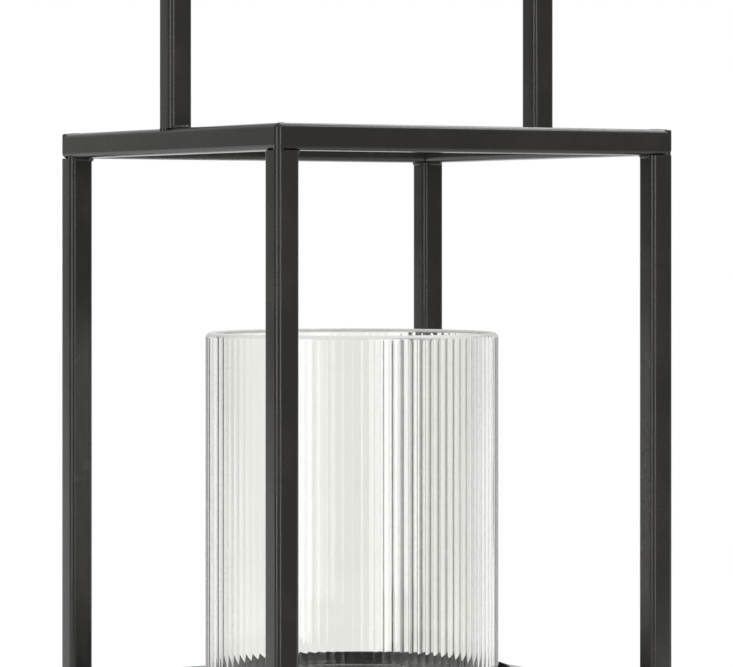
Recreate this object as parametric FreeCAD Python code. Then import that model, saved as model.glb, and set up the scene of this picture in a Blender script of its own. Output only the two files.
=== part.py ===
"""Candle lantern: a welded frame of square steel tube with a fixed loop handle, a round dish
carried on two bearer tubes, and a fluted glass cylinder that stands loose in the dish.

Millimetres. The origin is on the table under the centre of the frame, +Z points up, the
front faces -Y, and the handle runs from side to side along X.
"""

import FreeCAD, Part
import math
import os
from FreeCAD import Vector

# ---- square steel tube that the whole frame is made of
tube_side = 13.0             # outside width
tube_wall = 1.0
tube_corner_radius = 2.8     # outside of the long edges, and of the ground mitre corners

# ---- frame
frame_width = 230.0          # outside, the same from side to side and from front to back
post_length = 271.0          # clear height between the base ring and the top ring

# ---- fluted glass cylinder, open at both ends
glass_diameter = 150.7       # over the crests of the flutes
glass_wall = 4.0             # at a crest
glass_height = 180.0
flute_count = 102
flute_depth = 0.25           # from the crests to the valleys
rim_bevel_height = 2.2       # the softened ends, where the flutes die out
rim_bevel_width = 1.2

# ---- dish that the glass stands in
dish_sheet = 1.0
dish_height = 8.0
dish_bend = 2.0              # height and width of the flat between the floor and the wall
dish_play = 3.4              # room between the glass and the wall of the dish, all round
dish_overhang = 34.75        # from the middle of each tube under the dish out to its wall

# ---- how the dish and the loose glass stand: both over towards the left and the back
sideways_angle = 149.0       # that direction from +X, in degrees
dish_shift = 1.4             # from the middle of the frame to the middle of the dish
glass_gap = 0.3              # left between the glass and the dish where they come nearest

# ---- handle
handle_way_out = 2.0         # the glass passes out under the handle bar with this to spare
handle_shift = 1.2           # from the middle of the frame to the handle, towards the front

# ---- foot pads
pad_diameter = 9.0
pad_height = 2.0
pad_bevel = 0.5

# ---- levels and places that follow from those sizes
base_bottom = pad_height
base_top = base_bottom + tube_side
post_top = base_top + post_length
ring_top = post_top + tube_side
handle_top = ring_top + glass_height + handle_way_out + tube_side
half_width = frame_width / 2
tube_centre = half_width - tube_side / 2         # centre line of the tubes round the frame
clear_width = frame_width - 2 * tube_side        # inside the frame
dish_floor = base_top + dish_sheet
glass_radius = glass_diameter / 2
dish_radius = glass_radius + dish_play + dish_sheet
bearer_offset = dish_radius - dish_overhang      # from the middle to each tube under the dish
glass_shift = dish_shift + dish_play - glass_gap

Y, Z = Vector(0, 1, 0), Vector(0, 0, 1)
ORIGIN = Vector(0, 0, 0)


# ---- helpers

def edges_along(shape, direction):
    """The straight edges of a shape that run along a direction."""
    return [e for e in shape.Edges if abs(e.tangentAt(e.FirstParameter).dot(direction)) > 0.99]


def square_tube(length):
    """A length of the frame's tube, standing on the origin."""
    corner = Vector(-tube_side / 2, -tube_side / 2, 0)
    outside = Part.makeBox(tube_side, tube_side, length, corner)
    outside = outside.makeFillet(tube_corner_radius, edges_along(outside, Z))
    bore_side = tube_side - 2 * tube_wall
    bore = Part.makeBox(bore_side, bore_side, length, corner + Vector(tube_wall, tube_wall, 0))
    bore = bore.makeChamfer(tube_corner_radius - tube_wall, edges_along(bore, Z))
    return outside.cut(bore)


def pushed_over(shape, distance):
    """A shape moved towards the side on which the dish and the glass stand."""
    turn = math.radians(sideways_angle)
    shape.translate(Vector(distance * math.cos(turn), distance * math.sin(turn), 0))
    return shape


def tube_along_x(length):
    """The same tube lying along X, centred on the origin."""
    tube = square_tube(length)
    tube.translate(Vector(0, 0, -length / 2))
    tube.rotate(ORIGIN, Y, 90)
    return tube


def turned(shape, degrees):
    """A copy turned about the lantern's upright axis."""
    copy = shape.copy()
    copy.rotate(ORIGIN, Z, degrees)
    return copy


# ---- mitred square rings, at the base and at the top

def ring_rail(bottom):
    """The front member of a ring: a tube mitred at 45 degrees at both ends."""
    rail = tube_along_x(frame_width)
    rail.translate(Vector(0, -tube_centre, bottom + tube_side / 2))

    corners = [(0, 0), (-half_width, -half_width), (half_width, -half_width), (0, 0)]
    quarter = Part.Face(Part.makePolygon([Vector(x, y, bottom) for x, y in corners]))
    rail = rail.common(quarter.extrude(Vector(0, 0, tube_side)))

    # the welded corners are ground round, to the same radius as the tube's own edges
    block = Part.makeBox(frame_width, frame_width, tube_side, Vector(-half_width, -half_width, bottom))
    return rail.common(block.makeFillet(tube_corner_radius, edges_along(block, Z)))


def ring(name, bottom):
    """The four members of a ring, by node name."""
    front = ring_rail(bottom)
    turns = {"front": 0, "right": 90, "back": 180, "left": 270}
    return {f"{name}_{side}": turned(front, angle) for side, angle in turns.items()}


def at_corners(name, shape):
    """Copies of an upright piece on the centre lines of the four posts, by node name."""
    pieces = {}
    for depth, sy in (("front", -1), ("back", 1)):
        for side, sx in (("left", -1), ("right", 1)):
            piece = shape.copy()
            piece.translate(Vector(sx * tube_centre, sy * tube_centre, 0))
            pieces[f"{name}_{depth}_{side}"] = piece
    return pieces


# ---- frame pieces

def posts():
    post = square_tube(post_length)
    post.translate(Vector(0, 0, base_top))
    return at_corners("post", post)


def dish_bearers():
    """Two tubes from side to side, flush with the top of the base ring."""
    pieces = {}
    for name, sy in (("front", -1), ("back", 1)):
        tube = tube_along_x(clear_width)
        tube.translate(Vector(0, sy * bearer_offset, base_bottom + tube_side / 2))
        pieces[f"dish_bearer_{name}"] = tube
    return pieces


def handle():
    """Two legs near the middle of the side rails, mitred to a bar that joins them."""
    rise = handle_top - ring_top
    low = handle_top - tube_side
    inside = clear_width / 2

    outline = [(-half_width, handle_top), (half_width, handle_top), (inside, low), (-inside, low)]
    points = [Vector(x, -tube_side / 2, z) for x, z in outline + outline[:1]]
    mitre = Part.Face(Part.makePolygon(points)).extrude(Vector(0, tube_side, 0))

    block = Part.makeBox(
        frame_width, tube_side, rise, Vector(-half_width, -tube_side / 2, ring_top)
    )
    upper = [e for e in edges_along(block, Y) if e.CenterOfMass.z > low]
    rounded = block.makeFillet(tube_corner_radius, upper)

    bar = tube_along_x(frame_width)
    bar.translate(Vector(0, 0, handle_top - tube_side / 2))
    pieces = {"handle_bar": bar.common(mitre).common(rounded)}
    for side, sx in (("left", -1), ("right", 1)):
        leg = square_tube(rise)
        leg.translate(Vector(sx * tube_centre, 0, ring_top))
        pieces[f"handle_leg_{side}"] = leg.cut(mitre).common(rounded)
    for piece in pieces.values():
        piece.translate(Vector(0, -handle_shift, 0))
    return pieces


# ---- dish

def dish():
    """A shallow round dish of sheet, with an upright wall and a 45-degree flat at its foot."""
    fold = dish_sheet * math.tan(math.radians(45 / 2))   # the flat is this much shorter inside
    wall = dish_radius - dish_sheet
    profile = [
        (0, 0),
        (dish_radius - dish_bend, 0),
        (dish_radius, dish_bend),
        (dish_radius, dish_height),
        (wall, dish_height),
        (wall, dish_bend + fold),
        (dish_radius - dish_bend - fold, dish_sheet),
        (0, dish_sheet),
        (0, 0),
    ]
    outline = Part.makePolygon([Vector(r, 0, base_top + z) for r, z in profile])
    return pushed_over(Part.Face(outline).revolve(ORIGIN, Z, 360), dish_shift)


# ---- glass

def flute_outline():
    """The outline of the fluted prism: one outward arc for each flute, valley to valley."""
    pitch = 2 * math.pi / flute_count

    def at(radius, steps):
        return Vector(radius * math.cos(steps * pitch), radius * math.sin(steps * pitch), 0)

    valley = glass_radius - flute_depth
    arcs = []
    for i in range(flute_count):
        arcs.append(Part.Arc(at(valley, i), at(glass_radius, i + 0.5), at(valley, i + 1)).toShape())
    return Part.Wire(arcs)


def glass():
    """A fluted tube, open at both ends, whose flutes die out in the bevelled rims."""
    bore_radius = glass_radius - glass_wall
    mouth = bore_radius + rim_bevel_width
    neck = glass_radius - rim_bevel_width
    low, high = rim_bevel_height, glass_height - rim_bevel_height
    profile = [
        (mouth, 0), (neck, 0), (glass_radius, low), (glass_radius, high),
        (neck, glass_height), (mouth, glass_height), (bore_radius, high), (bore_radius, low),
        (mouth, 0),
    ]
    outline = Part.makePolygon([Vector(r, 0, z) for r, z in profile])
    tube = Part.Face(outline).revolve(ORIGIN, Z, 360)
    fluted = Part.Face(flute_outline()).extrude(Vector(0, 0, glass_height))
    cylinder = tube.common(fluted)
    cylinder.translate(Vector(0, 0, dish_floor))
    return pushed_over(cylinder, glass_shift)


# ---- foot pads

def foot_pads():
    pad = Part.makeCylinder(pad_diameter / 2, pad_height)
    lower = [e for e in pad.Edges if e.BoundBox.ZMax < pad_height / 2]
    return at_corners("foot_pad", pad.makeChamfer(pad_bevel, lower))


# ---- the lantern

def lantern():
    pieces = {}
    pieces.update(ring("base_rail", base_bottom))
    pieces.update(posts())
    pieces.update(ring("top_rail", post_top))
    pieces.update(handle())
    pieces.update(dish_bearers())
    pieces["candle_dish"] = dish()
    pieces["glass_cylinder"] = glass()
    pieces.update(foot_pads())
    return pieces


os.makedirs("parts", exist_ok=True)
for node, shape in lantern().items():
    solids = shape.Solids
    assert len(solids) == 1 and solids[0].isValid(), node
    solids[0].exportStep(f"parts/{node}.step")
    box = shape.BoundBox
    print(f"{node:22s} {shape.Volume / 1000:8.2f} cm3   z {box.ZMin:6.1f} to {box.ZMax:6.1f}")
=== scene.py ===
# %% [markdown]
# # A candle lantern, dressed for its picture
#
# The real object is a lantern frame welded from 13 mm square steel tube and powder coated
# black: a square ring at the foot, four corner posts, a square ring on top of them and a fixed
# loop handle. Two tubes across the foot carry a shallow black dish, and in the dish stands a
# clear glass cylinder with fine flutes all round its outside.
#
# The measured CAD model is loaded first and stays where it is. Every piece made below is in the
# same metres and the same place, so nothing has to be fitted: it stands exactly where the CAD
# solid stands, and adds what the plain solid leaves out, such as rounded edges that catch the
# light, weld beads, the curve of the flutes and the finish of each surface.

import math

import bmesh
import bpy
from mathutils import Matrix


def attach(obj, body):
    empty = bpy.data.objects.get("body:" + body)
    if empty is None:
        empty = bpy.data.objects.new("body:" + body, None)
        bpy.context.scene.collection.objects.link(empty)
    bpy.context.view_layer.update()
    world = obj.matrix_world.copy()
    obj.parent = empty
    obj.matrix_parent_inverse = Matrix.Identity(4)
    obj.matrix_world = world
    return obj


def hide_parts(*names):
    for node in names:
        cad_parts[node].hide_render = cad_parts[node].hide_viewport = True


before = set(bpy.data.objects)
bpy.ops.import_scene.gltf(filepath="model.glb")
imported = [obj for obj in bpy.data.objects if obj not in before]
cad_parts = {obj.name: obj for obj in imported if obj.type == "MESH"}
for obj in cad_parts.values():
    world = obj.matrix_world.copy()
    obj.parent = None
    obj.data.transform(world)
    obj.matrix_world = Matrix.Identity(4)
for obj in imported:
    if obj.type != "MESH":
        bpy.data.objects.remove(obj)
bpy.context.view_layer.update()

# %% [markdown]
# ## The camera
#
# All upright tubes are parallel in the photograph, so its camera looked exactly level and the
# picture was moved down by shifting the lens, not by tilting. The place comes from measuring the
# four posts and the two legs of the handle: one corner of the frame is nearest, the wide front is
# to the right of it, and the lens is long, because the far post is hardly smaller than the near
# one. The horizon lies above the middle of the picture, which is what the small shift gives. The
# lens and the shift are kept as they were measured, in pixels of the 733 pixel wide photograph.

# %% Place the camera
CAMERA_PLACE = (-0.97395, -1.62569, 0.24535)
CAMERA_TURN = math.radians(-31.016)
PICTURE_WIDTH = 733
LENS_IN_PIXELS = 3682.7
HORIZON_ABOVE_MIDDLE = 97.46

bpy.ops.object.camera_add(location=CAMERA_PLACE, rotation=(math.radians(90), 0, CAMERA_TURN))
camera = bpy.context.object
camera.name = "camera"
camera.data.sensor_width = 36
camera.data.lens = LENS_IN_PIXELS / PICTURE_WIDTH * camera.data.sensor_width
camera.data.shift_y = -HORIZON_ABOVE_MIDDLE / PICTURE_WIDTH
bpy.context.scene.camera = camera
print(f"camera with a {camera.data.lens:.0f} mm lens")

# %% [markdown]
# ## The sizes that the pieces share
#
# They repeat the CAD model's own values, in metres, and each is written once. Sizes that only one
# piece needs come with that piece. The frame is 230 mm wide, and the radius on the long edges of
# its tube matters most for the picture: that narrow rounding carries nearly all the highlights.

# %% Sizes
FRAME_WIDTH = 0.230
TUBE_SIDE = 0.013
TUBE_RADIUS = 0.0028
BASE_BOTTOM = 0.002
BASE_TOP = BASE_BOTTOM + TUBE_SIDE
POST_TOP = 0.286
RING_TOP = POST_TOP + TUBE_SIDE

HALF_WIDTH = FRAME_WIDTH / 2
TUBE_CENTRE = HALF_WIDTH - TUBE_SIDE / 2     # centre line of the tubes round the frame
INSIDE = HALF_WIDTH - TUBE_SIDE
print(f"a frame {FRAME_WIDTH * 1000:.0f} mm wide, its top ring {RING_TOP * 1000:.0f} mm above the table")

# %% [markdown]
# ## Modelling by hand, in code
#
# A person at the screen adds a primitive, goes into edit mode, picks some faces or edges and
# extrudes, insets or bevels them. The helpers below do just that. `start` adds a primitive and
# moves its place into its mesh, so that the object itself stays at the origin. `editing` opens
# edit mode for the lines inside a `with` block, and `pick` selects by a test, the way a person
# picks by eye: "the edges round the top", "the face that looks down". Operators act on all that is
# selected, so each helper first deselects everything else.

# %% Helpers that start and edit a piece
def alone(piece):
    """Selects one object and nothing else."""
    bpy.ops.object.select_all(action="DESELECT")
    piece.select_set(True)
    bpy.context.view_layer.objects.active = piece


def start(name, primitive, **placing):
    """Adds a primitive, names it, and moves its place and turn into its mesh."""
    bpy.ops.object.select_all(action="DESELECT")
    primitive(**placing)
    piece = bpy.context.object
    piece.name = name
    piece.data.name = name
    bpy.ops.object.transform_apply(location=True, rotation=True, scale=True)
    return piece


class editing:
    """Inside a with block, one object is in edit mode with nothing of it selected."""

    def __init__(self, piece):
        self.piece = piece

    def __enter__(self):
        alone(self.piece)
        bpy.ops.object.mode_set(mode="EDIT")
        bpy.ops.mesh.select_all(action="DESELECT")

    def __exit__(self, *problem):
        bpy.ops.object.mode_set(mode="OBJECT")


def pick(kind, test):
    """In edit mode, selects only the vertices, edges or faces that pass a test."""
    bpy.ops.mesh.select_mode(type=kind)
    bpy.ops.mesh.select_all(action="DESELECT")
    shape = bmesh.from_edit_mesh(bpy.context.object.data)
    parts = {"VERT": shape.verts, "EDGE": shape.edges, "FACE": shape.faces}[kind]
    chosen = [part for part in parts if test(part)]
    for part in chosen:
        part.select_set(True)
    shape.select_flush_mode()
    bmesh.update_edit_mesh(bpy.context.object.data)


def middle(edge):
    return (edge.verts[0].co + edge.verts[1].co) / 2


def heading(edge):
    return (edge.verts[1].co - edge.verts[0].co).normalized()


def near(a, b, within=1e-5):
    return abs(a - b) < within


def extrude(x=0.0, y=0.0, z=0.0):
    bpy.ops.mesh.extrude_region_move(TRANSFORM_OT_translate={"value": (x, y, z)})


def outward():
    """Turns the faces of a closed shell to look outwards."""
    bpy.ops.mesh.select_all(action="SELECT")
    bpy.ops.mesh.normals_make_consistent(inside=False)


print("helpers ready: start, editing, pick, extrude, outward")

# %% [markdown]
# What repeats is modelled once and copied, and each copy gets a mesh of its own. The four posts and the
# four pads stand at the same four places, so one helper sets both.

# %% Helpers that finish and copy a piece
def modify(piece, kind, **settings):
    """Adds a modifier, sets it and applies it."""
    alone(piece)
    modifier = piece.modifiers.new(kind.lower(), kind)
    for setting, value in settings.items():
        setattr(modifier, setting, value)
    bpy.ops.object.modifier_apply(modifier=modifier.name)


def smooth(piece, sharp_from=40):
    """Smooth shading that leaves broad flat faces flat beside their rounded edges."""
    alone(piece)
    bpy.ops.object.shade_smooth_by_angle(angle=math.radians(sharp_from))
    modify(piece, "WEIGHTED_NORMAL", weight=50, keep_sharp=True)


def copy_of(piece, name):
    """A copy with its own mesh."""
    alone(piece)
    bpy.ops.object.duplicate(linked=False)
    copy = bpy.context.object
    copy.name = name
    copy.data.name = name
    return copy


def move_mesh(piece, offset, turn=0.0):
    """Turns a piece about the upright axis, moves it, and keeps its object at the origin."""
    alone(piece)
    piece.rotation_euler = (0, 0, turn)
    piece.location = offset
    bpy.ops.object.transform_apply(location=True, rotation=True, scale=True)


DEPTHS = (("front", -1), ("back", 1))
SIDES = (("left", -1), ("right", 1))


def set_at_corners(pattern, name, node):
    """Copies a pattern to the centre lines of the four posts, and throws the pattern away."""
    for depth, side_y in DEPTHS:
        for side, side_x in SIDES:
            piece = copy_of(pattern, f"{name}_{depth}_{side}")
            move_mesh(piece, (side_x * TUBE_CENTRE, side_y * TUBE_CENTRE, 0))
            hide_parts(f"{node}_{depth}_{side}")
            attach(piece, "frame")
    bpy.data.objects.remove(pattern)


print("helpers ready: modify, smooth, copy_of, move_mesh, set_at_corners")

# %% [markdown]
# ## The shader writer
#
# A material is easiest to read as a formula, such as `0.4 + 0.1 * clouds`. The small class below
# wraps one socket of a node, and each sign between two of them adds the Math node that a person
# would drag in by hand. Any other node comes from `node`, which takes its settings first and then
# the values or links of its sockets.

# %% A socket that can be calculated with
class Socket:
    """One output of a node, which can be added to, multiplied and so on."""

    def __init__(self, recipe, output):
        self.recipe = recipe
        self.output = output

    def maths(self, operation, *values):
        return self.recipe.maths(operation, *values)

    def __add__(self, other):
        return self.maths("ADD", self, other)

    def __sub__(self, other):
        return self.maths("SUBTRACT", self, other)

    def __rsub__(self, other):
        return self.maths("SUBTRACT", other, self)

    def __mul__(self, other):
        return self.maths("MULTIPLY", self, other)

    __radd__ = __add__
    __rmul__ = __mul__

    def __gt__(self, other):
        return self.maths("GREATER_THAN", self, other)


print("socket maths ready: + - * and >")

# %% The recipe that holds a material's nodes
class Recipe:
    """The nodes of one material or of the world."""

    def __init__(self, owner):
        owner.use_nodes = True
        self.tree = owner.node_tree
        self.tree.nodes.clear()

    def node(self, kind, settings=None, *values, out=0, numbered=None, **named):
        """Adds a node: its settings first, then its sockets in order, by number or by name."""
        node = self.tree.nodes.new(kind)
        for setting, value in (settings or {}).items():
            setattr(node, setting, value)
        sockets = dict(enumerate(values)) | (numbered or {})
        sockets |= {name.replace("_", " "): value for name, value in named.items()}
        for key, value in sockets.items():
            if isinstance(value, Socket):
                self.tree.links.new(value.output, node.inputs[key])
            else:
                node.inputs[key].default_value = value
        return Socket(self, node.outputs[out]) if len(node.outputs) else node

    def maths(self, operation, *values):
        """One Math node."""
        return self.node("ShaderNodeMath", {"operation": operation}, *values)

    def place(self):
        """Where a point of the surface is, in metres."""
        return self.node("ShaderNodeTexCoord", out="Object")

    def stretched(self, scale):
        """The same place, measured in a finer or coarser unit along each axis."""
        return self.node("ShaderNodeMapping", None, self.place(), Scale=scale)

    def noise(self, place, scale, detail=2.0, roughness=0.5):
        """Clouds between 0 and 1, finer as the scale grows."""
        return self.node("ShaderNodeTexNoise", None, Vector=place, Scale=scale, Detail=detail,
                         Roughness=roughness)

    def between(self, factor, low, high, low_value=0.0, high_value=1.0):
        """Runs from low_value to high_value as the factor goes from low to high."""
        return self.node("ShaderNodeMapRange", {"interpolation_type": "SMOOTHSTEP"}, factor,
                         low, high, low_value, high_value)

    def blend(self, factor, first, second):
        """A colour between two colours, whose sockets on a Mix node are numbers 6 and 7."""
        sockets = {0: factor, 6: first, 7: second}
        return self.node("ShaderNodeMix", {"data_type": "RGBA"}, out=2, numbered=sockets)

    def kinds_of_ray(self):
        """Three switches: seen directly or straight through glass, by way of glass, mirrored."""
        seen = self.node("ShaderNodeLightPath", out="Is Camera Ray")
        through = self.node("ShaderNodeLightPath", out="Is Transmission Ray")
        mirrored = self.node("ShaderNodeLightPath", out="Is Glossy Ray")
        mirrors = self.node("ShaderNodeLightPath", out="Glossy Depth")
        scatters = self.node("ShaderNodeLightPath", out="Diffuse Depth")
        straight = self.maths("LESS_THAN", mirrors + scatters, 0.5)
        shown = self.maths("MAXIMUM", seen, through * straight)
        return shown, through * (1 - shown), mirrored * (1 - shown) * (1 - through)

    def glowing(self, strength):
        """White that gives its own light."""
        return self.node("ShaderNodeEmission", None, Color=(1, 1, 1, 1), Strength=strength)

    def finish(self, shader, kind="ShaderNodeOutputMaterial"):
        """Links the shader to the output."""
        self.node(kind, None, Surface=shader)


def material(name):
    new = bpy.data.materials.new(name)
    return new, Recipe(new)


def dress(piece, finish):
    """Gives a piece one material."""
    piece.data.materials.clear()
    piece.data.materials.append(finish)


print("recipe ready: node, noise, between, blend, kinds_of_ray")

# %% [markdown]
# ## Black powder coat
#
# The frame is sprayed with dry paint powder and baked. The powder never melts quite flat, so the
# satin black has a very fine orange peel, about half a millimetre from bump to bump, that blurs
# every reflection. Here and there a grain of dust stands up under the coat, and handling leaves
# faint dull patches. The black itself is not neutral: it leans a little to brown.
#
# A high roughness alone would blur the reflections too, but evenly, like a matt plastic. Fine
# noise in a Bump node breaks the light lines up the way powder does. The dust grains are the
# middles of a few Voronoi cells, chosen by the cell's own random colour.

# %% Powder coat
ORANGE_PEEL = 1500         # bumps of the coat, as a noise scale per metre
PEEL_HEIGHT = 0.00012
SPECKS = 420               # cells that may each hold one grain of dust


def powder_coat(name, colour, colour_dusty, roughness):
    coat, recipe = material(name)
    place = recipe.place()
    peel = recipe.noise(place, ORANGE_PEEL, detail=1.5)
    swell = recipe.noise(place, 260, detail=1.0)
    clouds = recipe.noise(place, 22, detail=3.0, roughness=0.6)
    specks = recipe.node("ShaderNodeTexVoronoi", None, Vector=place, Scale=SPECKS)
    chosen = recipe.node("ShaderNodeTexVoronoi", None, out="Color", Vector=place, Scale=SPECKS)
    rare = recipe.node("ShaderNodeSeparateColor", None, chosen) > 0.985
    dust = recipe.between(specks, 0.10, 0.22, 1.0, 0.0) * rare
    dull = recipe.between(clouds, 0.42, 0.68)
    height = peel + 0.8 * swell + 1.6 * dust
    shader = recipe.node(
        "ShaderNodeBsdfPrincipled",
        None,
        Base_Color=recipe.blend(dull, colour, colour_dusty),
        Roughness=roughness + 0.10 * dull + 0.05 * peel,
        Normal=recipe.node("ShaderNodeBump", None, Strength=0.18, Distance=PEEL_HEIGHT, Height=height),
    )
    recipe.finish(shader)
    return coat


WARM_BLACK = (0.0290, 0.0278, 0.0256, 1)
DUSTY_BLACK = (0.0345, 0.0328, 0.0302, 1)
FRAME_COAT = powder_coat("black_powder_coat", WARM_BLACK, DUSTY_BLACK, 0.17)
print("powder coat mixed:", len(FRAME_COAT.node_tree.nodes), "nodes")

# %% [markdown]
# ## The two square rings
#
# Each ring is four tubes cut at 45 degrees, welded at the corners and ground smooth, so under the
# paint it is one continuous piece. It is modelled that way: a flat square as wide as the lantern,
# an inset as wide as the tube, the middle thrown away, the rest extruded to the height of the
# tube. A bevel then rounds the long edges and the four outer corners together, which gives the
# ball corners that grinding leaves. The inner corners stay sharp, as they do where two tubes meet.
#
# Four separate mitred lengths would show a seam at each corner, which the paint hides on the real
# frame. The top ring is a copy of the one at the foot.

# %% Rings
EDGE_STEPS = 6     # faces round each worn edge, enough for a smooth light line


def worn_round(edge):
    """The long edges of a ring, and its four outer upright edges."""
    along = heading(edge)
    if max(abs(along.x), abs(along.y)) > 0.99:
        return True
    return abs(along.z) > 0.99 and abs(middle(edge).x) > TUBE_CENTRE


base_ring = start("base_ring_of_tube", bpy.ops.mesh.primitive_plane_add, size=FRAME_WIDTH,
                  location=(0, 0, BASE_BOTTOM))
with editing(base_ring):
    bpy.ops.mesh.select_all(action="SELECT")
    bpy.ops.mesh.inset(thickness=TUBE_SIDE)
    bpy.ops.mesh.delete(type="FACE")
    bpy.ops.mesh.select_all(action="SELECT")
    extrude(z=TUBE_SIDE)
    outward()
    pick("EDGE", worn_round)
    bpy.ops.mesh.bevel(offset=TUBE_RADIUS, segments=EDGE_STEPS, affect="EDGES")
smooth(base_ring)
dress(base_ring, FRAME_COAT)

top_ring = copy_of(base_ring, "top_ring_of_tube")
move_mesh(top_ring, (0, 0, POST_TOP - BASE_BOTTOM))

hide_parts("base_rail_front", "base_rail_right", "base_rail_back", "base_rail_left")
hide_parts("top_rail_front", "top_rail_right", "top_rail_back", "top_rail_left")
for ring in (base_ring, top_ring):
    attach(ring, "frame")
print("rings:", len(base_ring.data.polygons), "faces each")

# %% [markdown]
# ## Posts and bearers
#
# These are plain lengths of the tube, cut square. The cross-section is drawn first, as a flat
# face: a square with rounded corners, an inset of one wall thickness, and the middle removed. One
# extrusion along the length then makes a real hollow tube. Where such an end butts against the
# rounded edge of a ring, it leaves the thin black groove that the photograph shows at each joint.
#
# A stretched cube with bevelled edges would look the same from outside, but its round edges would
# also run over the ends, and the groove would be too wide.

# %% Posts and bearers
TUBE_WALL = 0.001
BEARER_OFFSET = 0.045     # from the middle to the centre line of each tube under the dish


def length_of_tube(name, foot, length, lying=False):
    turn = (0, math.radians(90), 0) if lying else (0, 0, 0)
    tube = start(name, bpy.ops.mesh.primitive_plane_add, size=TUBE_SIDE, location=foot, rotation=turn)
    with editing(tube):
        pick("VERT", lambda corner: True)
        bpy.ops.mesh.bevel(offset=TUBE_RADIUS, segments=EDGE_STEPS, affect="VERTICES")
        bpy.ops.mesh.select_mode(type="FACE")
        bpy.ops.mesh.select_all(action="SELECT")
        bpy.ops.mesh.inset(thickness=TUBE_WALL)
        bpy.ops.mesh.delete(type="FACE")
        bpy.ops.mesh.select_all(action="SELECT")
        if lying:
            extrude(x=length)
        else:
            extrude(z=length)
        outward()
    smooth(tube)
    dress(tube, FRAME_COAT)
    return tube


post_pattern = length_of_tube("post_pattern", (0, 0, BASE_TOP), POST_TOP - BASE_TOP)
set_at_corners(post_pattern, "corner_post", "post")

left_end = (-INSIDE, 0, BASE_BOTTOM + TUBE_SIDE / 2)
bearer_pattern = length_of_tube("bearer_pattern", left_end, 2 * INSIDE, lying=True)
for depth, side_y in DEPTHS:
    bearer = copy_of(bearer_pattern, f"bearer_tube_{depth}")
    move_mesh(bearer, (0, side_y * BEARER_OFFSET, 0))
    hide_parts(f"dish_bearer_{depth}")
    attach(bearer, "frame")
bpy.data.objects.remove(bearer_pattern)
print("four posts and two bearers of hollow tube")

# %% [markdown]
# ## The loop handle
#
# The handle is one tall loop: two legs mitred to a bar. It is drawn in one go by walking a face
# round the loop: up the left leg, a corner block, across, another corner block, and down the
# right leg. Only the outward 90-degree edges are then rounded; the test asks for the angle
# between the two faces of an edge, so the seams inside the flat sides are left alone, and so
# are the square-cut feet. A bevelled curve would be quicker to draw, but it would bend round the
# corners, where the real handle is mitred.

# %% Handle
HANDLE_TOP = 0.494
HANDLE_SHIFT = 0.0012     # from the middle towards the front

rise = HANDLE_TOP - TUBE_SIDE - RING_TOP
handle = start("loop_handle", bpy.ops.mesh.primitive_plane_add, size=TUBE_SIDE,
               location=(-TUBE_CENTRE, -HANDLE_SHIFT, RING_TOP))
with editing(handle):
    bpy.ops.mesh.select_all(action="SELECT")
    extrude(z=rise)
    extrude(z=TUBE_SIDE)
    outward()

    def end_of_corner(face):
        return face.normal.x > 0.9 and face.calc_center_median().z > HANDLE_TOP - TUBE_SIDE

    def under_corner(face):
        return face.normal.z < -0.9 and face.calc_center_median().x > INSIDE

    pick("FACE", end_of_corner)
    extrude(x=2 * INSIDE)
    extrude(x=TUBE_SIDE)
    pick("FACE", under_corner)
    extrude(z=-rise)
    outward()

    def outer_edge(edge):
        at_foot = all(near(corner.co.z, RING_TOP) for corner in edge.verts)
        return edge.is_manifold and edge.calc_face_angle_signed() > 1 and not at_foot

    pick("EDGE", outer_edge)
    bpy.ops.mesh.bevel(offset=TUBE_RADIUS, segments=EDGE_STEPS, affect="EDGES")
smooth(handle)
dress(handle, FRAME_COAT)
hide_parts("handle_bar", "handle_leg_left", "handle_leg_right")
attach(handle, "frame")
print("handle:", len(handle.data.polygons), "faces")

# %% [markdown]
# ## Weld beads
#
# The tubes are held by short runs of weld. A bead is a row of overlapping puddles, so its back is
# rippled, and the powder coat softens it. One bead is modelled from a thin cylinder: its long
# edges are subdivided into rings, and the rings are squeezed by turns and tapered at the ends.
# It is then copied into the inner corners where posts, legs and bearers meet the rings. Sculpted
# beads would each be different, but at this size, under paint, turning every second one round is
# enough to hide that they are alike.

# %% Model one bead
BEAD_RADIUS = 0.0013
BEAD_LENGTH = 0.0092
RIPPLES = (0.35, 0.78, 1.0, 0.86, 1.03, 0.9, 1.06, 0.88, 1.0, 0.92, 1.04, 0.84, 0.62, 0.3)

bead = start("bead_pattern", bpy.ops.mesh.primitive_cylinder_add, vertices=14, radius=BEAD_RADIUS,
             depth=BEAD_LENGTH, rotation=(0, math.radians(90), 0))
with editing(bead):
    pick("EDGE", lambda edge: abs(heading(edge).x) > 0.99)
    bpy.ops.mesh.subdivide(number_cuts=len(RIPPLES) - 2)
    for ring, girth in enumerate(RIPPLES):
        along = -BEAD_LENGTH / 2 + ring * BEAD_LENGTH / (len(RIPPLES) - 1)
        pick("VERT", lambda corner: near(corner.co.x, along))
        bpy.ops.transform.resize(value=(1, girth, girth), center_override=(along, 0, 0))
smooth(bead, 60)
dress(bead, FRAME_COAT)
print("bead:", len(bead.data.polygons), "faces")

# %% Set the beads
BEAD_SINK = 0.0004     # how far a bead's middle lies inside the two surfaces that it joins
beads = []


def set_bead(place, along, longer=1.0):
    """Lays a copy of the bead in an inner corner, along the x, y or z axis."""
    copy = copy_of(bead, f"bead_{len(beads):02d}")
    copy.scale = (longer, 1, 1)
    copy.rotation_euler = (0, math.pi / 2 if along == "z" else 0, 0)
    bpy.ops.object.transform_apply(location=False, rotation=True, scale=True)
    flip = math.pi if len(beads) % 2 else 0.0
    move_mesh(copy, place, flip + (math.pi / 2 if along == "y" else 0))
    beads.append(copy)


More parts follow.
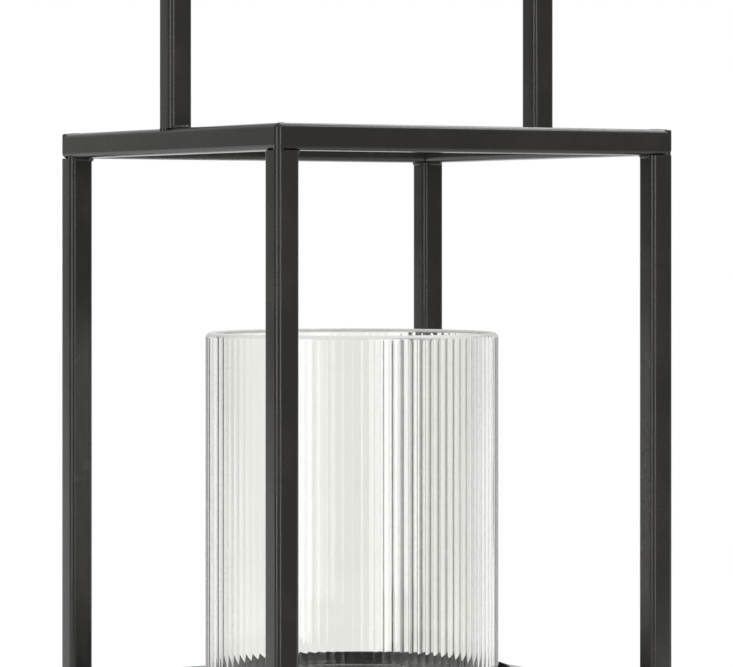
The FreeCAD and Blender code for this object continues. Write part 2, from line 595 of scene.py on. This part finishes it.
for side_x in (-1, 1):
    for side_y in (-1, 1):
        for level, up in ((BASE_TOP, 1), (POST_TOP, -1)):
            inner_x = side_x * (INSIDE - BEAD_SINK)
            inner_y = side_y * (INSIDE - BEAD_SINK)
            height = level + up * BEAD_SINK
            set_bead((inner_x, side_y * TUBE_CENTRE, height), "y", longer=0.94)
            set_bead((side_x * TUBE_CENTRE, inner_y, height), "x", longer=0.9)
    for side_y in (-1, 1):
        beside_leg = side_y * (TUBE_SIDE / 2 + BEAD_SINK) - HANDLE_SHIFT
        set_bead((side_x * TUBE_CENTRE, beside_leg, RING_TOP + BEAD_SINK), "x")
        for face_y in (-1, 1):
            beside = side_y * BEARER_OFFSET + face_y * (TUBE_SIDE / 2 + BEAD_SINK)
            set_bead((side_x * (INSIDE - BEAD_SINK), beside, BASE_BOTTOM + TUBE_SIDE / 2), "z")
print(len(beads), "beads set")

# %% [markdown]
# ## Filled corners and dressed seams
#
# At the outside of each joint the welder filled the corner and dressed it with a file, so the
# rounded edge of the post runs on into the ring, a little unevenly. A drop of metal does that:
# a ball stretched upright, flush with the rounded edges of both tubes. The mitres on top of the
# upper ring were dressed less well and stand up by a third of a millimetre. At its left and right
# corners the weld was filed level with the top, so each ends in a plug that is round from above
# and nearly square from the side.

# %% Corner drops and mitre seams
FLUSH = 0.0001                     # filed weld stays this far inside the tube's own surface
WELD_RADIUS = TUBE_RADIUS * 0.99
DROP_SIZE = (WELD_RADIUS, WELD_RADIUS, 0.0036)
SEAM_SIZE = (0.0078, 0.0016, 0.0008)
FOOT_DROP_SIZE = (0.0018, 0.0022, 0.0030)
DROP_INSIDE = 0.0006               # a drop's middle lies this far inside the ring
SEAM_INSIDE = 0.0004
FOOT_DROPS_AT = (0.0, 0.0031)      # along the foot of each leg, from front to back


def metal_drop(name, place, size, turn=0.0):
    """A rounded lump of weld metal: a ball, stretched and with one end pinched."""
    drop = start(name, bpy.ops.mesh.primitive_uv_sphere_add, segments=20, ring_count=12, radius=1.0)
    with editing(drop):
        pick("VERT", lambda corner: corner.co.x > 0.3)
        bpy.ops.transform.resize(value=(0.94, 0.86, 0.92), center_override=(0, 0, 0))
        bpy.ops.mesh.select_all(action="SELECT")
        bpy.ops.transform.resize(value=size, center_override=(0, 0, 0))
    move_mesh(drop, place, turn)
    alone(drop)
    bpy.ops.object.shade_smooth()
    dress(drop, FRAME_COAT)
    beads.append(drop)


def corner_plug(x, y):
    """A filed corner of the upper ring: a short upright pin with a worn upper edge."""
    depth = 0.009
    worn = 0.0009
    middle_height = RING_TOP - FLUSH - depth / 2
    plug = start("corner_plug", bpy.ops.mesh.primitive_cylinder_add, vertices=28,
                 radius=WELD_RADIUS, depth=depth, location=(x, y, middle_height))
    with editing(plug):
        pick("FACE", lambda face: face.normal.z > 0.9)
        bpy.ops.mesh.bevel(offset=worn, segments=4, affect="EDGES")
    smooth(plug)
    dress(plug, FRAME_COAT)
    beads.append(plug)


corner_line = HALF_WIDTH - TUBE_RADIUS
for side_x in (-1, 1):
    for side_y in (-1, 1):
        spot = (side_x * corner_line, side_y * corner_line)
        if side_x != side_y:
            corner_plug(*spot)
        # under the left corner the upper drop sits on the other outer edge of its post
        at_left_corner = (side_x, side_y) == (-1, 1)
        upper = (spot[0], corner_line - TUBE_SIDE + 2 * TUBE_RADIUS) if at_left_corner else spot
        metal_drop("corner_drop", (*upper, POST_TOP + DROP_INSIDE), DROP_SIZE)
        metal_drop("corner_drop", (*spot, BASE_TOP - DROP_INSIDE), DROP_SIZE)
        seam = (side_x * TUBE_CENTRE, side_y * TUBE_CENTRE, RING_TOP - SEAM_INSIDE)
        metal_drop("mitre_seam", seam, SEAM_SIZE, math.atan2(side_y, side_x))
    for beside in FOOT_DROPS_AT:
        outer = side_x * (HALF_WIDTH - FLUSH - FOOT_DROP_SIZE[0])
        foot_spot = (outer, beside, RING_TOP - DROP_INSIDE)
        metal_drop("foot_drop", foot_spot, FOOT_DROP_SIZE)
print(len(beads), "lumps of weld metal with the drops and seams")

# %% [markdown]
# All the weld metal is the same stuff under the same coat, so it is joined into one piece.

# %% Join the weld metal
alone(beads[0])
for drop in beads[1:]:
    drop.select_set(True)
bpy.ops.object.join()
welds = bpy.context.object
welds.name = welds.data.name = "weld_beads"
bpy.data.objects.remove(bead)
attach(welds, "frame")
print("weld beads:", len(welds.data.polygons), "faces")

# %% [markdown]
# ## The dish
#
# The dish is pressed from 1 mm sheet: a flat floor, a rounded bend, a low upright wall. It starts
# as a disc at the height of the rim, which is extruded downwards into a closed drum, and the lid
# is taken off. A bevel on the edge between floor and wall makes the bend. A Solidify modifier
# then gives the sheet its thickness towards the inside, and a small bevel breaks the cut edge of
# the wall, which is the thin light line on the rim. A profile swept round with a spin would give
# the same dish. The disc is shorter to write, because the bevel works out the bend by itself.
#
# Last the dish is moved over a little, because in the photograph it doesn't stand quite in the
# middle. It and the loose glass both stand over towards the left and the back.

# %% Dish
DISH_RADIUS = 0.07975
DISH_HEIGHT = 0.008
DISH_BEND = 0.0022
DISH_SHEET = 0.001
DISH_SHIFT = 0.0014
SIDEWAYS = math.radians(149)      # the way in which it is moved over, from the x axis
FLOOR_INSETS = (0.030, 0.025)     # rings of faces that keep the floor's faces short
LIP_BREAK = 0.00028


def moved_over(distance, height=0.0):
    return (distance * math.cos(SIDEWAYS), distance * math.sin(SIDEWAYS), height)


dish = start("pressed_dish", bpy.ops.mesh.primitive_circle_add, vertices=180, radius=DISH_RADIUS,
             fill_type="NGON", location=(0, 0, BASE_TOP + DISH_HEIGHT))
with editing(dish):
    bpy.ops.mesh.select_all(action="SELECT")
    extrude(z=-DISH_HEIGHT)
    bpy.ops.mesh.select_all(action="SELECT")
    bpy.ops.mesh.normals_make_consistent(inside=True)
    pick("FACE", lambda face: near(face.calc_center_median().z, BASE_TOP + DISH_HEIGHT))
    bpy.ops.mesh.delete(type="ONLY_FACE")
    pick("EDGE", lambda edge: all(near(v.co.z, BASE_TOP) for v in edge.verts))
    bpy.ops.mesh.bevel(offset=DISH_BEND, segments=7, affect="EDGES")
    pick("FACE", lambda face: len(face.verts) > 4)
    for width in FLOOR_INSETS:
        bpy.ops.mesh.inset(thickness=width)
    bpy.ops.mesh.poke()
modify(dish, "SOLIDIFY", thickness=DISH_SHEET, offset=1, use_even_offset=True)
with editing(dish):
    pick("EDGE", lambda edge: all(near(v.co.z, BASE_TOP + DISH_HEIGHT) for v in edge.verts)
         and abs(edge.verts[0].co.xy.length - edge.verts[1].co.xy.length) < 1e-5)
    bpy.ops.mesh.bevel(offset=LIP_BREAK, segments=2, affect="EDGES")
smooth(dish, 35)
move_mesh(dish, moved_over(DISH_SHIFT))
print("dish:", len(dish.data.polygons), "faces, height", round(dish.dimensions.z, 4))

# %% [markdown]
# ## Paint on the dish
#
# The dish has the same black coat. Its floor is rubbed in faint rings, because the glass is
# turned on it, and it holds a little dust. The rings are noise read along the distance from the
# middle only, which a vector's length gives.

# %% Dish paint
dish_paint, recipe = material("dish_paint")
place = recipe.place()
from_middle = recipe.node("ShaderNodeVectorMath", {"operation": "LENGTH"},
                          recipe.stretched((1, 1, 0)), out="Value")
along_radius = recipe.node("ShaderNodeCombineXYZ", None, from_middle, 0.0, 0.0)
rings = recipe.noise(along_radius, 900, detail=3.0)
peel = recipe.noise(place, ORANGE_PEEL, detail=1.5)
clouds = recipe.noise(place, 35, detail=3.0)
rubbed = recipe.between(rings, 0.45, 0.7) * recipe.between(clouds, 0.35, 0.6)
recipe.finish(recipe.node(
    "ShaderNodeBsdfPrincipled",
    None,
    Base_Color=recipe.blend(rubbed, (0.0205, 0.020, 0.0185, 1), (0.030, 0.0285, 0.026, 1)),
    Roughness=0.17 + 0.12 * rubbed + 0.05 * peel,
    Normal=recipe.node("ShaderNodeBump", None, Strength=0.2, Distance=PEEL_HEIGHT,
                       Height=peel + 0.4 * rings),
))
dress(dish, dish_paint)
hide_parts("candle_dish")
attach(dish, "frame")
print("dish painted:", len(dish_paint.node_tree.nodes), "nodes")

# %% [markdown]
# ## The fluted glass
#
# This is the piece that makes the picture. The outside has 102 fine flutes, each a shallow convex
# rib a quarter of a millimetre high, and the bore is smooth. Light bends a little at every rib,
# so everything behind the glass is cut into thin upright lines. Near both rims the flutes die out
# in a plain rounded edge.
#
# One rib is modelled and repeated. The wall's cross-section is a tall rectangle whose corners are
# rounded by a vertex bevel. A spin through one rib's share of the circle, in ten steps, sweeps it
# into a sliver of plain tube. The outer points of each step are then scaled in towards the axis
# until they lie on the rib's curve, but never out past the rounded rim, which is what makes the
# flutes fade. A second spin repeats the sliver all round, and the seams are merged. Last the
# glass is set down in the dish, a little off the middle, where it was left. A Wave texture in a
# Bump node would save all these faces, but it can't bend light twice, at both sides of the wall,
# and the outline of the glass would stay smooth.

# %% Model one rib
GLASS_RADIUS = 0.07535
GLASS_WALL = 0.004
GLASS_HEIGHT = 0.180
GLASS_FOOT = BASE_TOP + DISH_SHEET
GLASS_SHIFT = 0.0045
FLUTES = 102
FLUTE_DEPTH = 0.00025
STEPS = 10
PITCH = 2 * math.pi / FLUTES
OUTER_ROUNDING = 0.0028
BORE_ROUNDING = 0.001
ROUND_THE_AXIS = {"center": (0, 0, 0), "axis": (0, 0, 1)}

glass = start("fluted_glass", bpy.ops.mesh.primitive_plane_add, size=1,
              rotation=(math.radians(90), 0, 0))
with editing(glass):
    bpy.ops.mesh.select_all(action="SELECT")
    bpy.ops.transform.resize(value=(GLASS_WALL, 1, GLASS_HEIGHT))
    bpy.ops.transform.translate(value=(GLASS_RADIUS - GLASS_WALL / 2, 0, GLASS_HEIGHT / 2))
    pick("VERT", lambda corner: near(corner.co.x, GLASS_RADIUS))
    bpy.ops.mesh.bevel(offset=OUTER_ROUNDING, segments=8, affect="VERTICES")
    pick("VERT", lambda corner: near(corner.co.x, GLASS_RADIUS - GLASS_WALL))
    bpy.ops.mesh.bevel(offset=BORE_ROUNDING, segments=4, affect="VERTICES")
    bpy.ops.mesh.select_mode(type="FACE")
    bpy.ops.mesh.select_all(action="SELECT")
    bpy.ops.mesh.delete(type="ONLY_FACE")
    bpy.ops.mesh.select_mode(type="EDGE")
    bpy.ops.mesh.select_all(action="SELECT")
    bpy.ops.mesh.spin(steps=STEPS, angle=PITCH, **ROUND_THE_AXIS)
    shape = bmesh.from_edit_mesh(glass.data)
    radii = sorted({round(corner.co.xy.length, 7) for corner in shape.verts}, reverse=True)
    for step in range(STEPS + 1):
        from_crest = (step - STEPS / 2) / (STEPS / 2)
        rib = GLASS_RADIUS - FLUTE_DEPTH * from_crest ** 2
        for radius in radii:
            if radius <= rib:
                break

            def stands_out(corner):
                turn = abs(math.atan2(corner.co.y, corner.co.x))
                return near(turn, step * PITCH / STEPS, 1e-4) and near(corner.co.xy.length, radius, 1e-6)

            pick("VERT", stands_out)
            bpy.ops.transform.resize(value=(rib / radius, rib / radius, 1), center_override=(0, 0, 0))
print("one rib:", len(glass.data.polygons), "faces")

# %% Repeat it round the cylinder
with editing(glass):
    bpy.ops.mesh.select_mode(type="FACE")
    bpy.ops.mesh.select_all(action="SELECT")
    bpy.ops.mesh.spin(steps=FLUTES - 1, dupli=True, angle=(FLUTES - 1) * PITCH, **ROUND_THE_AXIS)
    bpy.ops.mesh.select_all(action="SELECT")
    bpy.ops.mesh.remove_doubles(threshold=0.00002)
    outward()
move_mesh(glass, moved_over(GLASS_SHIFT, GLASS_FOOT))
smooth(glass)
print("glass:", len(glass.data.polygons), "faces")

# %% [markdown]
# ## Clear glass
#
# The glass is clear, and its thickness takes a little of the light. It is not optically perfect:
# the wall swims very slightly, which bends the lines behind it a little, and fingers leave
# patches that are a trace less sharp. The upper rim was ground, so its last two millimetres turn
# matt and stand out as a pale ring. A Mix Shader fades from clear to matt by the height alone.

# %% Glass
GLASS_TOP = GLASS_FOOT + GLASS_HEIGHT
GROUND_FROM = GLASS_TOP - 0.0024
GROUND_FULLY = GLASS_TOP - 0.0008

clear_glass, recipe = material("fluted_clear_glass")
place = recipe.place()
swim = recipe.noise(recipe.stretched((1, 1, 0.35)), 40, detail=1.0)
smudge = recipe.between(recipe.noise(place, 30, detail=4.0, roughness=0.65), 0.52, 0.75)
height = recipe.node("ShaderNodeSeparateXYZ", None, place, out="Z")
rim = recipe.between(height, GROUND_FROM, GROUND_FULLY)
clear = recipe.node(
    "ShaderNodeBsdfPrincipled",
    None,
    Base_Color=recipe.blend(smudge, (0.930, 0.927, 0.908, 1), (0.905, 0.902, 0.883, 1)),
    Roughness=0.005 + 0.02 * smudge + 0.2 * rim,
    IOR=1.5,
    Transmission_Weight=1.0,
    Normal=recipe.node("ShaderNodeBump", None, Strength=0.25, Distance=0.0003, Height=swim),
)
ground = recipe.node("ShaderNodeBsdfDiffuse", None, Color=(0.80, 0.80, 0.78, 1))
recipe.finish(recipe.node("ShaderNodeMixShader", None, 0.9 * rim, clear, ground))
dress(glass, clear_glass)
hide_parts("glass_cylinder")
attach(glass, "glass")
print("clear glass:", len(clear_glass.node_tree.nodes), "nodes")

# %% [markdown]
# ## Foot pads
#
# Four small rubber pads keep the steel off the table. Each is a moulded button: a short cylinder
# with its lower edge rounded and a shallow cup in its sole, made by an inset pushed inwards. The
# rubber is dull, and a pale bloom comes out on it with age.

# %% Foot pads
PAD_RADIUS = 0.0045
PAD_EDGE = 0.0005
CUP_RIM = 0.0013        # from the pad's side to the cup in its sole
CUP_SLOPE = 0.0004
CUP_DEPTH = 0.0006

pad_rubber, recipe = material("pad_rubber")
place = recipe.place()
grain = recipe.noise(place, 2600, detail=2.0)
bloom = recipe.between(recipe.noise(place, 180, detail=2.0), 0.4, 0.7)
recipe.finish(recipe.node(
    "ShaderNodeBsdfPrincipled",
    None,
    Base_Color=recipe.blend(bloom, (0.016, 0.016, 0.016, 1), (0.030, 0.029, 0.028, 1)),
    Roughness=0.62 + 0.2 * bloom,
    Normal=recipe.node("ShaderNodeBump", None, Strength=0.3, Distance=0.00008, Height=grain),
))

pad_pattern = start("pad_pattern", bpy.ops.mesh.primitive_cylinder_add, vertices=40, radius=PAD_RADIUS,
                    depth=BASE_BOTTOM, location=(0, 0, BASE_BOTTOM / 2))
with editing(pad_pattern):
    pick("FACE", lambda face: face.normal.z < -0.9)
    bpy.ops.mesh.inset(thickness=CUP_RIM)
    bpy.ops.mesh.inset(thickness=CUP_SLOPE)
    bpy.ops.transform.translate(value=(0, 0, CUP_DEPTH))
    pick("EDGE", lambda edge: all(near(v.co.z, 0) and near(v.co.xy.length, PAD_RADIUS) for v in edge.verts))
    bpy.ops.mesh.bevel(offset=PAD_EDGE, segments=3, affect="EDGES")
smooth(pad_pattern)
dress(pad_pattern, pad_rubber)
print("pad:", len(pad_pattern.data.polygons), "faces")
set_at_corners(pad_pattern, "rubber_pad", "foot_pad")

# %% [markdown]
# ## The studio
#
# The photograph was taken in a white sweep: everything behind the lantern is pure white, and the
# room on the camera's side is dark, with two upright soft boxes, one large one overhead and a
# narrow strip high up on the right. That is why each rounded edge carries two thin light lines
# with a dark gap between them, and why the left sides, which mirror the white sweep, are lighter
# than the fronts, which mirror the dark room.
#
# The floor is a pale disc that keeps the lantern's shadow. It ends a little in front of the
# lantern, so that tubes and glass mirror the upright boxes right down to their feet. The floor
# and the world round it show themselves differently to different rays:
#
# - What the camera sees, directly or straight through the glass, is white.
# - What it sees by way of the glass, after a reflection inside, is white all round except
#   towards the camera.
# - What the paint mirrors is white behind the lantern and dark on the camera's side. Only
#   straight down, past the front edge of the disc, it is pale again.
# - Everything else is lit by the even light of a pale room.
#
# The light on the lantern itself comes from the soft boxes and that room alone: making the
# backdrop white adds nothing to it.

# %% Floor
VIEW = (math.sin(-CAMERA_TURN), math.cos(CAMERA_TURN), 0.0)     # the way the camera looks
DARK_SIDE = 0.15       # how bright the room is on the camera's side
ROOM_LIGHT = 0.42      # even light for all that isn't seen or mirrored

FLOOR_RADIUS = 3.0
FLOOR_BEHIND = 2.6     # its middle is this far behind the lantern, its edge 0.4 m in front
FLOOR_GLOW = 0.60      # what the floor near the lantern adds to the light that falls on it

floor = start("floor", bpy.ops.mesh.primitive_circle_add, vertices=96, radius=FLOOR_RADIUS,
              fill_type="NGON", location=[FLOOR_BEHIND * part for part in VIEW])
floor_white, recipe = material("floor_white")
place = recipe.place()
shown, by_glass, mirror_only = recipe.kinds_of_ray()
from_lantern = recipe.node("ShaderNodeVectorMath", {"operation": "LENGTH"}, place, out="Value")
behind = recipe.node("ShaderNodeVectorMath", {"operation": "DOT_PRODUCT"}, place, VIEW, out="Value")
paint = recipe.node("ShaderNodeBsdfDiffuse", None, Color=(0.45, 0.45, 0.445, 1))
near_by = recipe.node("ShaderNodeAddShader", None, paint, recipe.glowing(FLOOR_GLOW))
far_off = recipe.between(from_lantern, 0.35, 1.0)
view = recipe.node("ShaderNodeMixShader", None, far_off, near_by, recipe.glowing(1.0))
mirrored = recipe.glowing(recipe.between(behind, -0.36, -0.05, DARK_SIDE, 1.0))
plain = recipe.node("ShaderNodeBsdfDiffuse", None, Color=(0.60, 0.60, 0.59, 1))
unseen = recipe.node("ShaderNodeMixShader", None, mirror_only + by_glass, plain, mirrored)
recipe.finish(recipe.node("ShaderNodeMixShader", None, shown, unseen, view))
dress(floor, floor_white)
print("floor:", len(floor_white.node_tree.nodes), "nodes")

# %% World
world = bpy.data.worlds.new("white_sweep")
bpy.context.scene.world = world
recipe = Recipe(world)
shown, by_glass, mirror_only = recipe.kinds_of_ray()
ray = recipe.node("ShaderNodeTexCoord", out="Generated")
across = recipe.node("ShaderNodeVectorMath", {"operation": "DOT_PRODUCT"}, ray, VIEW, out="Value")
upward = recipe.node("ShaderNodeSeparateXYZ", None, ray, out="Z")
past_the_floor = recipe.between(0 - upward, 0.25, 0.6, 0.0, 0.9)
sweep = recipe.maths("MAXIMUM", recipe.between(across, 0.33, 0.85, DARK_SIDE, 1.0), past_the_floor)
wide_sweep = recipe.between(across, -0.95, -0.6, DARK_SIDE, 1.0)
other = 1 - shown - by_glass - mirror_only
strength = shown + by_glass * wide_sweep + mirror_only * sweep + ROOM_LIGHT * other
background = recipe.node("ShaderNodeBackground", None, Color=(1, 1, 1, 1), Strength=strength)
recipe.finish(background, "ShaderNodeOutputWorld")
print("world:", len(world.node_tree.nodes), "nodes")

# %% Soft boxes
AIM = (0, 0, 0.25)
UPRIGHT_BOX = {"width": 0.65, "height": 1.7}


def soft_box(name, place, width, height, radiance):
    """A rectangular lamp whose surface looks as bright as the radiance, with white as 1."""
    bpy.ops.object.light_add(type="AREA", location=place)
    lamp = bpy.context.object
    lamp.name = name
    lamp.data.shape = "RECTANGLE"
    lamp.data.size = width
    lamp.data.size_y = height
    lamp.data.energy = radiance * math.pi * width * height
    towards = [a - p for a, p in zip(AIM, place)]
    level = math.hypot(towards[0], towards[1])
    lamp.rotation_euler = (math.atan2(level, -towards[2]), 0, math.atan2(-towards[0], towards[1]))
    lamp.visible_camera = False
    return lamp


def round_the_frame(degrees, distance, height):
    """A place round the lantern: 0 degrees is straight in front, 90 is at its left."""
    turn = math.radians(degrees)
    return (-distance * math.sin(turn), -distance * math.cos(turn), height)


soft_box("soft_box_right", round_the_frame(4, 1.9, 0.55), radiance=2.8, **UPRIGHT_BOX)
soft_box("soft_box_left", round_the_frame(73, 1.9, 0.55), radiance=3.1, **UPRIGHT_BOX)
soft_box("soft_box_above", (0.1, 0.25, 2.0), width=1.7, height=1.7, radiance=1.3)
soft_box("strip_above_right", (1.3, 0.0, 2.05), width=3.0, height=0.5, radiance=5.0)
print("two upright soft boxes, one overhead and a strip")

# %% [markdown]
# ## Finish
#
# The picture is shown with the plain Standard view, so that a colour comes out as it is written.

# %% Finish
bpy.context.scene.view_settings.view_transform = "Standard"
